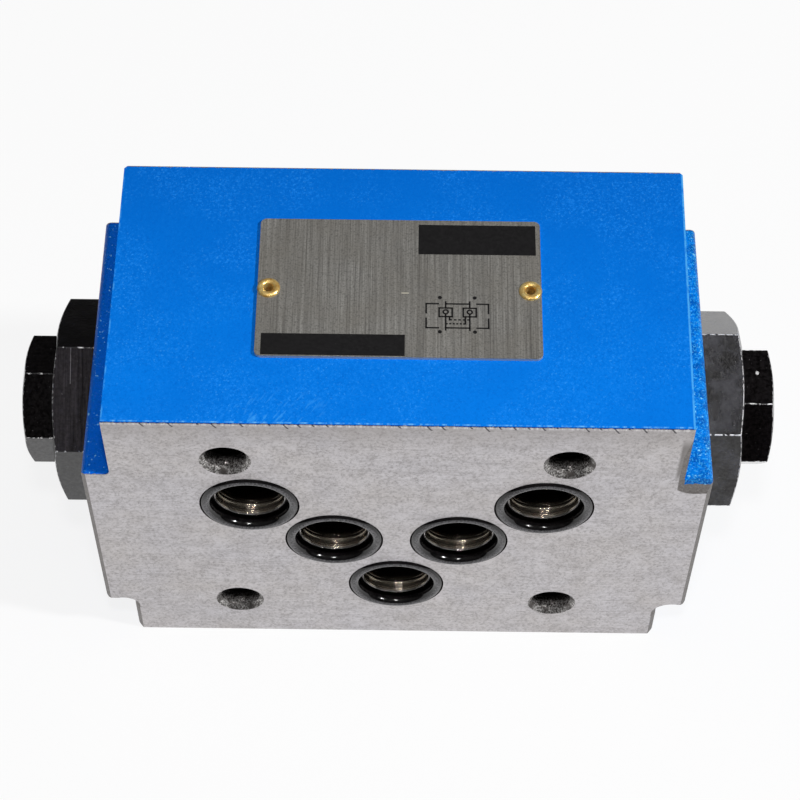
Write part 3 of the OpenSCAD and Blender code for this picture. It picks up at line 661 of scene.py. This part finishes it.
def make_black_oxide():
    """Blackened steel of the hexagons: coarser on the end plugs; a painted sheen over the scuff lines of the
    left plug's flat that faces up toward the front, which also carries a scratch; and a chip through the
    blacking on the right cap screw's upper flat."""
    material, board, shader = start_finish("black_oxide", Specular_IOR_Level=0.6)
    place = object_mm(board)
    x, _, z = board.split(place)
    lines = machining_lines(board, (3.2, 0.12, 0.12))
    rub = board.noise(place, 0.25, 3.0, 0.6)
    grain = board.noise(place, 1.6, 4.0, 0.75)
    plug = board.under(board.size(x), PLUG_END_X)
    right_plug = board.times(plug, board.over(x, 0.0))
    toward_flat = board.vector("DOT_PRODUCT", board.facing(), SHEEN_AND_SCUFF_FLAT)
    # painted sheen on the left plug's flat that faces up toward the front, over its scuff lines
    scuffed_and_sheen = board.times(plug, board.under(x, 0.0), board.span(toward_flat, 0.98, 0.995))
    scratch = board.times(scuffed_and_sheen, board.over(z, PLUG_SCRATCH_LOW_Z), board.near(x, PLUG_SCRATCH_X, 0.07))
    chip_reach = board.vector("LENGTH", board.vector("SUBTRACT", place, CHIP_PLACE))
    chip = board.under(chip_reach, board.span(board.noise(place, 2.2), 0.3, 0.7, 0.1, 0.5))
    board.feed(shader["Base Color"], board.coat(
        board.tint(lines["Tone"], linear(12, 9, 10), linear(23, 19, 21)),
        (plug, board.tint(lines["Tone"], linear(5, 3, 4), linear(12, 9, 11))),
        (board.span(rub, 0.5, 0.75, 0.0, 0.6), linear(18, 15, 18)),
        (board.times(plug, board.span(grain, 0.5, 0.7), 0.5), linear(30, 27, 31)),
        (board.times(right_plug, board.span(rub, 0.4, 0.62), 0.9), linear(52, 51, 55)),
        # painted sheen over the scuff lines of that flat
        (scuffed_and_sheen, board.tint(lines["Tone"], linear(18, 15, 17), linear(74, 69, 72))),
        (scratch, linear(128, 124, 126)),
        (board.times(specks(board, 0.34, 0.15), 0.75), linear(150, 148, 148)),
        (chip, linear(240, 239, 239)),
    ))
    coarse = board.most(right_plug, board.times(scuffed_and_sheen, 0.3))
    fine_roughness = board.span(rub, 0.3, 0.7, 0.05, 0.1)
    coarse_roughness = board.span(rub, 0.3, 0.7, 0.12, 0.22)
    board.feed(shader["Roughness"], board.mix(coarse, fine_roughness, coarse_roughness))
    least_metal, most_metal = board.mix(plug, 0.2, 0.0), board.mix(plug, 0.9, 0.42)
    board.feed(shader["Metallic"], board.span(grain, 0.4, 0.62, least_metal, most_metal))
    height = board.times(grain, board.mix(coarse, 0.1, 1.0))
    board.feed(shader["Normal"], board.bump(height, depth_mm=0.05))
    return material


def make_worn_edge():
    """Hexagon edges rubbed through to bright steel by spanners, the curved ones duller."""
    material, board, shader = start_finish("worn_edge")
    x = board.split(object_mm(board))[0]
    slope = board.size(board.split(board.facing())[0])
    right_share = board.span(board.size(x), PLUG_END_X - 0.1, PLUG_END_X + 0.1, 0.74, 0.56)
    rub = specks(board, 0.7, board.mix(board.under(x, 0.0), right_share, 0.5))
    steel = board.tint(board.span(slope, 0.08, 0.22), linear(240, 238, 238), linear(150, 148, 150))
    board.feed(shader["Base Color"], board.tint(rub, linear(30, 28, 30), steel))
    board.feed(shader["Metallic"], board.times(rub, 0.4))
    board.feed(shader["Roughness"], board.mix(rub, 0.3, 0.38))
    return material


def make_bright_steel():
    material, board, shader = start_finish("bright_steel", Metallic=1.0)
    rings = board.place(TURNED_RINGS, **{"Rings per mm": 5.0})
    board.feed(shader["Base Color"], board.tint(rings["Tone"], linear(172, 172, 176), linear(206, 206, 209)))
    board.feed(shader["Roughness"], board.span(rings["Tone"], 0.0, 1.0, 0.2, 0.34))
    board.feed(shader["Normal"], board.bump(rings["Height"], depth_mm=0.02))
    return material


PAINTED_CASTING = make_painted_casting()
BRUSHED_PLATE = make_brushed_plate()
PLATE_INK = make_plate_ink()
RIVET_BRASS = make_rivet_brass()
SEAL_RUBBER = make_seal_rubber()
BLACK_OXIDE = make_black_oxide()
WORN_EDGE = make_worn_edge()
BRIGHT_STEEL = make_bright_steel()


# Dressing of the solids

BODY_EDGE, NAMEPLATE_EDGE, HEXAGON_EDGE = 0.25, 0.12, 0.14
EDGE_SEGMENTS = 2
SHARP_ANGLE, FLAT_ANGLE = math.radians(35.0), math.radians(0.5)
WELD_DISTANCE = 1e-6
PORT_SEALS = ["port_seal_" + port for port in ("p", "a", "b", "t_left", "t_right")]


def break_edges(piece, width_mm, edge_slot=-1, whole_flats=False):
    """Small bevels; whole_flats first joins the facets of each flat, so that its bevels meet evenly."""
    weld = piece.modifiers.new("weld", "WELD")
    weld.merge_threshold = WELD_DISTANCE
    if whole_flats:
        flats = piece.modifiers.new("whole_flats", "DECIMATE")
        flats.decimate_type = "DISSOLVE"
        flats.angle_limit = FLAT_ANGLE
    bevel = piece.modifiers.new("broken_edges", "BEVEL")
    bevel.width = width_mm * MM
    bevel.segments = EDGE_SEGMENTS
    bevel.limit_method = "ANGLE"
    bevel.angle_limit = SHARP_ANGLE
    bevel.use_clamp_overlap = not whole_flats
    bevel.material = edge_slot
    bevel.harden_normals = not whole_flats
    bevel.miter_outer = "MITER_ARC"
    if whole_flats:
        piece.modifiers.new("flat_shading", "WEIGHTED_NORMAL")


def dress(nodes, slot, *materials):
    for name in nodes:
        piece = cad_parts[name]
        piece.data.materials.clear()
        for material in materials:
            piece.data.materials.append(material)


def on_both_sides(*kinds):
    return [side + kind for side in SIDES for kind in kinds]


def dress_valve():
    heads = on_both_sides("_end_plug", "_cap_screw")
    inner = on_both_sides("_seat_bush", "_poppet", "_ball", "_ball_guide")
    seals = on_both_sides("_end_plug_seal", "_cap_seal", "_seat_seal")
    dress(["valve_body"], "blue_paint", PAINTED_CASTING)
    dress(["nameplate"], "brushed_plate", BRUSHED_PLATE)
    dress(on_both_sides("_rivet"), "rivet_brass", RIVET_BRASS)
    dress(PORT_SEALS + seals, "seal_rubber", SEAL_RUBBER)
    dress(heads, "black_steel", BLACK_OXIDE, WORN_EDGE)
    dress(inner + ["control_spool"], "bright_steel", BRIGHT_STEEL)
    break_edges(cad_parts["valve_body"], BODY_EDGE)
    break_edges(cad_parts["nameplate"], NAMEPLATE_EDGE)
    for name in heads:
        break_edges(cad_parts[name], HEXAGON_EDGE, edge_slot=1, whole_flats=True)


def finish_piece(sheet, name, material):
    data = bpy.data.meshes.new(name)
    sheet.to_mesh(data)
    sheet.free()
    piece = bpy.data.objects.new(name, data)
    scene.collection.objects.link(piece)
    data.materials.append(material)
    return piece


# Springs: each is wound in two lengths, one at the ball guide and one at the cap screw

WIRE_D, COIL_D = 1.0, 8.4
COIL_TURNS, SPLIT_TURN = 6, 2
CLOSED_PITCH = 1.03
STEPS_PER_TURN, WIRE_SIDES = 32, 12


class SpringPlace:
    """Where one solid spring stands; turn 0 is at the ball guide, the last turn at the cap screw."""

    def __init__(self, side):
        low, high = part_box(side + "_spring")
        self.sign = -1 if side == "left" else 1
        self.near, far = sorted(abs(end[0]) / MM for end in (low, high))
        self.rise = far - self.near - WIRE_D

    def height(self, turn):
        """Distance of the wire's middle from the valve's middle, with one closed turn at each end."""
        open_pitch = (self.rise - 2 * CLOSED_PITCH) / (COIL_TURNS - 2)
        lift = CLOSED_PITCH + (turn - 1) * open_pitch
        if turn < 1:
            lift = turn * CLOSED_PITCH
        elif turn > COIL_TURNS - 1:
            lift = self.rise - (COIL_TURNS - turn) * CLOSED_PITCH
        return self.near + WIRE_D / 2 + lift

    def on_axis(self, height):
        return Vector((self.sign * height, AXIS_Y, AXIS_Z)) * MM

    def on_wire(self, turn, round_wire):
        reach = COIL_D / 2 + WIRE_D / 2 * math.cos(round_wire)
        height = self.height(turn) + WIRE_D / 2 * math.sin(round_wire)
        across = Vector((0.0, math.sin(math.tau * turn), -math.cos(math.tau * turn)))
        return self.on_axis(height) + across * reach * MM


def wind_length(spring, name, first_turn, last_turn):
    """One closed length of a spring's wire."""
    coil = bmesh.new()
    rings = [[coil.verts.new(spring.on_wire(step / STEPS_PER_TURN, math.tau * k / WIRE_SIDES))
              for k in range(WIRE_SIDES)]
             for step in range(first_turn * STEPS_PER_TURN, last_turn * STEPS_PER_TURN + 1)]
    for before, after in zip(rings, rings[1:]):
        for k in range(WIRE_SIDES):
            beside = (k + 1) % WIRE_SIDES
            coil.faces.new((before[k], after[k], after[beside], before[beside])).smooth = True
    coil.faces.new(rings[0])
    coil.faces.new(rings[-1][::-1])
    bmesh.ops.recalc_face_normals(coil, faces=coil.faces)
    return finish_piece(coil, name, BRIGHT_STEEL)


def wind_springs():
    for side in SIDES:
        node = side + "_spring"
        spring = SpringPlace(side)
        inner = wind_length(spring, node + "_at_guide", 0, SPLIT_TURN)
        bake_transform(inner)
        outer = wind_length(spring, node + "_at_cap", SPLIT_TURN, COIL_TURNS)
        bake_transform(outer)
        for piece in (inner, outer):
            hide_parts(node)


# Print on the nameplate: two plain bars and the symbol of two piloted check valves

INK_LOW, INK_HIGH = NAMEPLATE_TOP_Z, NAMEPLATE_TOP_Z + 0.015
STROKE = 0.27
BARS = ((2.96, 7.25, 21.75, 13.15), (-21.55, -12.43, 0.93, -8.4))
FRAME_WEST, FRAME_EAST, FRAME_NORTH, FRAME_SOUTH = 4.24, 14.05, -2.4, -7.0
WEST_STUB, EAST_STUB, UPRIGHT_STUB = 1.9, 1.8, 1.75
LEFT_LINE, RIGHT_LINE, LINE_OVERHANG = 7.31, 11.1, 0.4
CHECK_NORTH, CHECK_SOUTH, CHECK_HALF_WIDTH = -3.2, -4.85, 1.02
BALL_Y, BALL_OUTER, BALL_INNER, BALL_DROP = -3.945, 0.52, 0.24, 0.42
UPPER_PILOT_Y, UPPER_PILOT_START, UPPER_DASHES = -5.45, 0.6, 5
LOWER_PILOT_Y, LOWER_PILOT_END, LOWER_DASHES = -6.2, 0.7, 6
DASH_SHARE = 0.6
PORT_DOTS = ((6.4, -1.2), (11.9, -1.2), (6.4, -7.75), (11.9, -7.75))
DOT_R = 0.32
RING_SIDES, DOT_SIDES = 28, 16


def ink_slab(sheet, x0, y0, x1, y1):
    """A flat rectangle of ink, as a closed thin slab."""
    corners = [sheet.verts.new(Vector((px, py, pz)) * MM)
               for pz in (INK_LOW, INK_HIGH) for px, py in ((x0, y0), (x1, y0), (x1, y1), (x0, y1))]
    for face in ((3, 2, 1, 0), (4, 5, 6, 7), (0, 1, 5, 4), (1, 2, 6, 5), (2, 3, 7, 6), (3, 0, 4, 7)):
        sheet.faces.new([corners[k] for k in face])


def ink_line(sheet, x0, y0, x1, y1):
    """A level or upright stroke between two points."""
    half = STROKE / 2
    ink_slab(sheet, min(x0, x1) - half, min(y0, y1) - half, max(x0, x1) + half, max(y0, y1) + half)


def ink_dashes(sheet, x0, x1, y, count):
    pitch = (x1 - x0) / (count - (1.0 - DASH_SHARE))
    for k in range(count):
        start = x0 + k * pitch
        ink_slab(sheet, start, y - STROKE / 2, start + DASH_SHARE * pitch, y + STROKE / 2)


def ink_ring(sheet, x, y, outer, inner, sides):
    """A ring of ink; an inner radius of 0 gives a full dot."""
    def circle(radius, level):
        return [sheet.verts.new(Vector((x + radius * math.cos(math.tau * k / sides),
                                        y + radius * math.sin(math.tau * k / sides), level)) * MM)
                for k in range(sides)]

    def wall(first, second):
        for k in range(sides):
            after = (k + 1) % sides
            sheet.faces.new((first[k], first[after], second[after], second[k]))

    bottom, top = circle(outer, INK_LOW), circle(outer, INK_HIGH)
    wall(bottom, top)
    if inner:
        hole_top, hole_bottom = circle(inner, INK_HIGH), circle(inner, INK_LOW)
        wall(top, hole_top)
        wall(hole_top, hole_bottom)
        wall(hole_bottom, bottom)
    else:
        sheet.faces.new(top)
        sheet.faces.new(bottom[::-1])


def finish_print(sheet, name):
    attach(finish_piece(sheet, name, PLATE_INK), "valve")


def print_bars():
    sheet = bmesh.new()
    for bar in BARS:
        ink_slab(sheet, *bar)
    finish_print(sheet, "nameplate_bars")


def print_symbol():
    sheet = bmesh.new()
    # The frame: its corners, and on each long edge a length between the two lines
    for edge in (FRAME_NORTH, FRAME_SOUTH):
        ink_line(sheet, FRAME_WEST, edge, FRAME_WEST + WEST_STUB, edge)
        ink_line(sheet, LEFT_LINE, edge, RIGHT_LINE, edge)
        ink_line(sheet, FRAME_EAST - EAST_STUB, edge, FRAME_EAST, edge)
    for side in (FRAME_WEST, FRAME_EAST):
        ink_line(sheet, side, FRAME_NORTH, side, FRAME_NORTH - UPRIGHT_STUB)
        ink_line(sheet, side, FRAME_SOUTH, side, FRAME_SOUTH + UPRIGHT_STUB)
    # A check valve on each line: box and ball
    for middle in (LEFT_LINE, RIGHT_LINE):
        ink_line(sheet, middle, FRAME_NORTH + LINE_OVERHANG, middle, CHECK_NORTH)
        ink_line(sheet, middle, BALL_Y - BALL_DROP, middle, FRAME_SOUTH - LINE_OVERHANG)
        west, east = middle - CHECK_HALF_WIDTH, middle + CHECK_HALF_WIDTH
        for edge in (CHECK_NORTH, CHECK_SOUTH):
            ink_line(sheet, west, edge, east, edge)
        for side in (west, east):
            ink_line(sheet, side, CHECK_NORTH, side, CHECK_SOUTH)
        ink_ring(sheet, middle, BALL_Y, BALL_OUTER, BALL_INNER, RING_SIDES)
    # Pilot lines, each from one line to the other line's check valve
    upper_start, lower_end = LEFT_LINE + UPPER_PILOT_START, RIGHT_LINE - LOWER_PILOT_END
    ink_dashes(sheet, upper_start, RIGHT_LINE, UPPER_PILOT_Y, UPPER_DASHES)
    ink_dashes(sheet, LEFT_LINE, lower_end, LOWER_PILOT_Y, LOWER_DASHES)
    ink_line(sheet, upper_start, CHECK_SOUTH, upper_start, UPPER_PILOT_Y)
    ink_line(sheet, lower_end, CHECK_SOUTH, lower_end, LOWER_PILOT_Y)
    for x, y in PORT_DOTS:
        ink_ring(sheet, x, y, DOT_R, 0.0, DOT_SIDES)
    finish_print(sheet, "nameplate_symbol")


# Floor, world and lamps; lengths here are in metres

FLOOR_REACH, FLOOR_DROP = 400.0, 0.00002
CHALK = (0.86, 0.86, 0.87, 1.0)
WHITE = (1.0, 1.0, 1.0, 1.0)
FLOOR_WHITENESS = 0.86
SHEET_END_MM, PLAIN_START_MM = 260.0, 700.0
ROOM_AT_SIDES, ROOM_OVERHEAD, ROOM_SEEN = 0.035, 0.12, 0.97
LAMP_TARGET = Vector((0.0, 0.0, 0.045))


def ray_kinds(board):
    """Whether a ray comes from the camera, and whether it comes off or through a polished piece."""
    path = board.put("ShaderNodeLightPath").outputs
    return path["Is Camera Ray"], board.most(path["Is Glossy Ray"], path["Is Transmission Ray"])


def set_up_floor():
    data = bpy.data.meshes.new("floor")
    corners = [(x * FLOOR_REACH, y * FLOOR_REACH, 0) for x, y in ((-1, -1), (1, -1), (1, 1), (-1, 1))]
    data.from_pydata(corners, [], [(0, 1, 2, 3)])
    floor = bpy.data.objects.new("floor", data)
    scene.collection.objects.link(floor)
    floor.location.z = -FLOOR_DROP
    material = bpy.data.materials.new("pale_floor")
    material.use_nodes = True
    board = Board(material.node_tree)
    nodes = material.node_tree.nodes
    nodes.remove(nodes["Principled BSDF"])
    chalk = board.put("ShaderNodeBsdfDiffuse")
    chalk.inputs["Color"].default_value = CHALK
    glow = board.put("ShaderNodeEmission")
    glow.inputs["Color"].default_value = WHITE
    # Polished pieces see the sheet of white under the valve, and a plain floor further off
    by_camera, by_polish = ray_kinds(board)
    away = board.vector("LENGTH", object_mm(board))
    sheet = board.span(away, SHEET_END_MM, PLAIN_START_MM, 1.0, 0.0, smooth=True)
    white = board.most(by_camera, board.times(by_polish, sheet))
    both = board.put("ShaderNodeMixShader")
    board.feed_all(both.inputs, (board.times(white, FLOOR_WHITENESS), chalk.outputs[0], glow.outputs[0]))
    board.feed(nodes["Material Output"].inputs["Surface"], both.outputs[0])
    data.materials.append(material)


def set_up_world():
    world = bpy.data.worlds.new("studio")
    scene.world = world
    world.use_nodes = True
    board = Board(world.node_tree)
    glow = world.node_tree.nodes["Background"]
    rise = board.split(board.put("ShaderNodeTexCoord").outputs["Generated"])[2]
    level = board.span(rise, 0.1, 0.9, ROOM_AT_SIDES, ROOM_OVERHEAD, smooth=True)
    # The camera sees the pale room behind the floor; polished pieces see it only below the floor's far edge
    by_camera, by_polish = ray_kinds(board)
    below = board.span(rise, 0.0, -0.02)
    shown = board.mix(board.most(by_camera, board.times(by_polish, below)), level, ROOM_SEEN)
    board.feed(glow.inputs["Color"], board.join(shown, shown, shown))


def add_lamp(name, toward, distance, width, power):
    data = bpy.data.lights.new(name, "AREA")
    data.shape = "DISK"
    data.size = width
    data.energy = power
    lamp = bpy.data.objects.new(name, data)
    direction = Vector(toward).normalized()
    turn = direction.to_track_quat("Z", "Y").to_matrix().to_4x4()
    lamp.matrix_world = Matrix.Translation(LAMP_TARGET + direction * distance) @ turn
    scene.collection.objects.link(lamp)


def set_up_lamps():
    add_lamp("right_lamp", toward=(0.67, -0.16, 0.72), distance=1.6, width=0.13, power=17.5)
    add_lamp("front_lamp", toward=(0.0, -0.36, 0.93), distance=0.5, width=0.05, power=0.86)
    add_lamp("overhead_lamp", toward=(0.0, 0.0, 1.0), distance=0.9, width=0.34, power=0.6)


set_up_camera()
dress_valve()
wind_springs()
print_bars()
print_symbol()
set_up_floor()
set_up_world()
set_up_lamps()
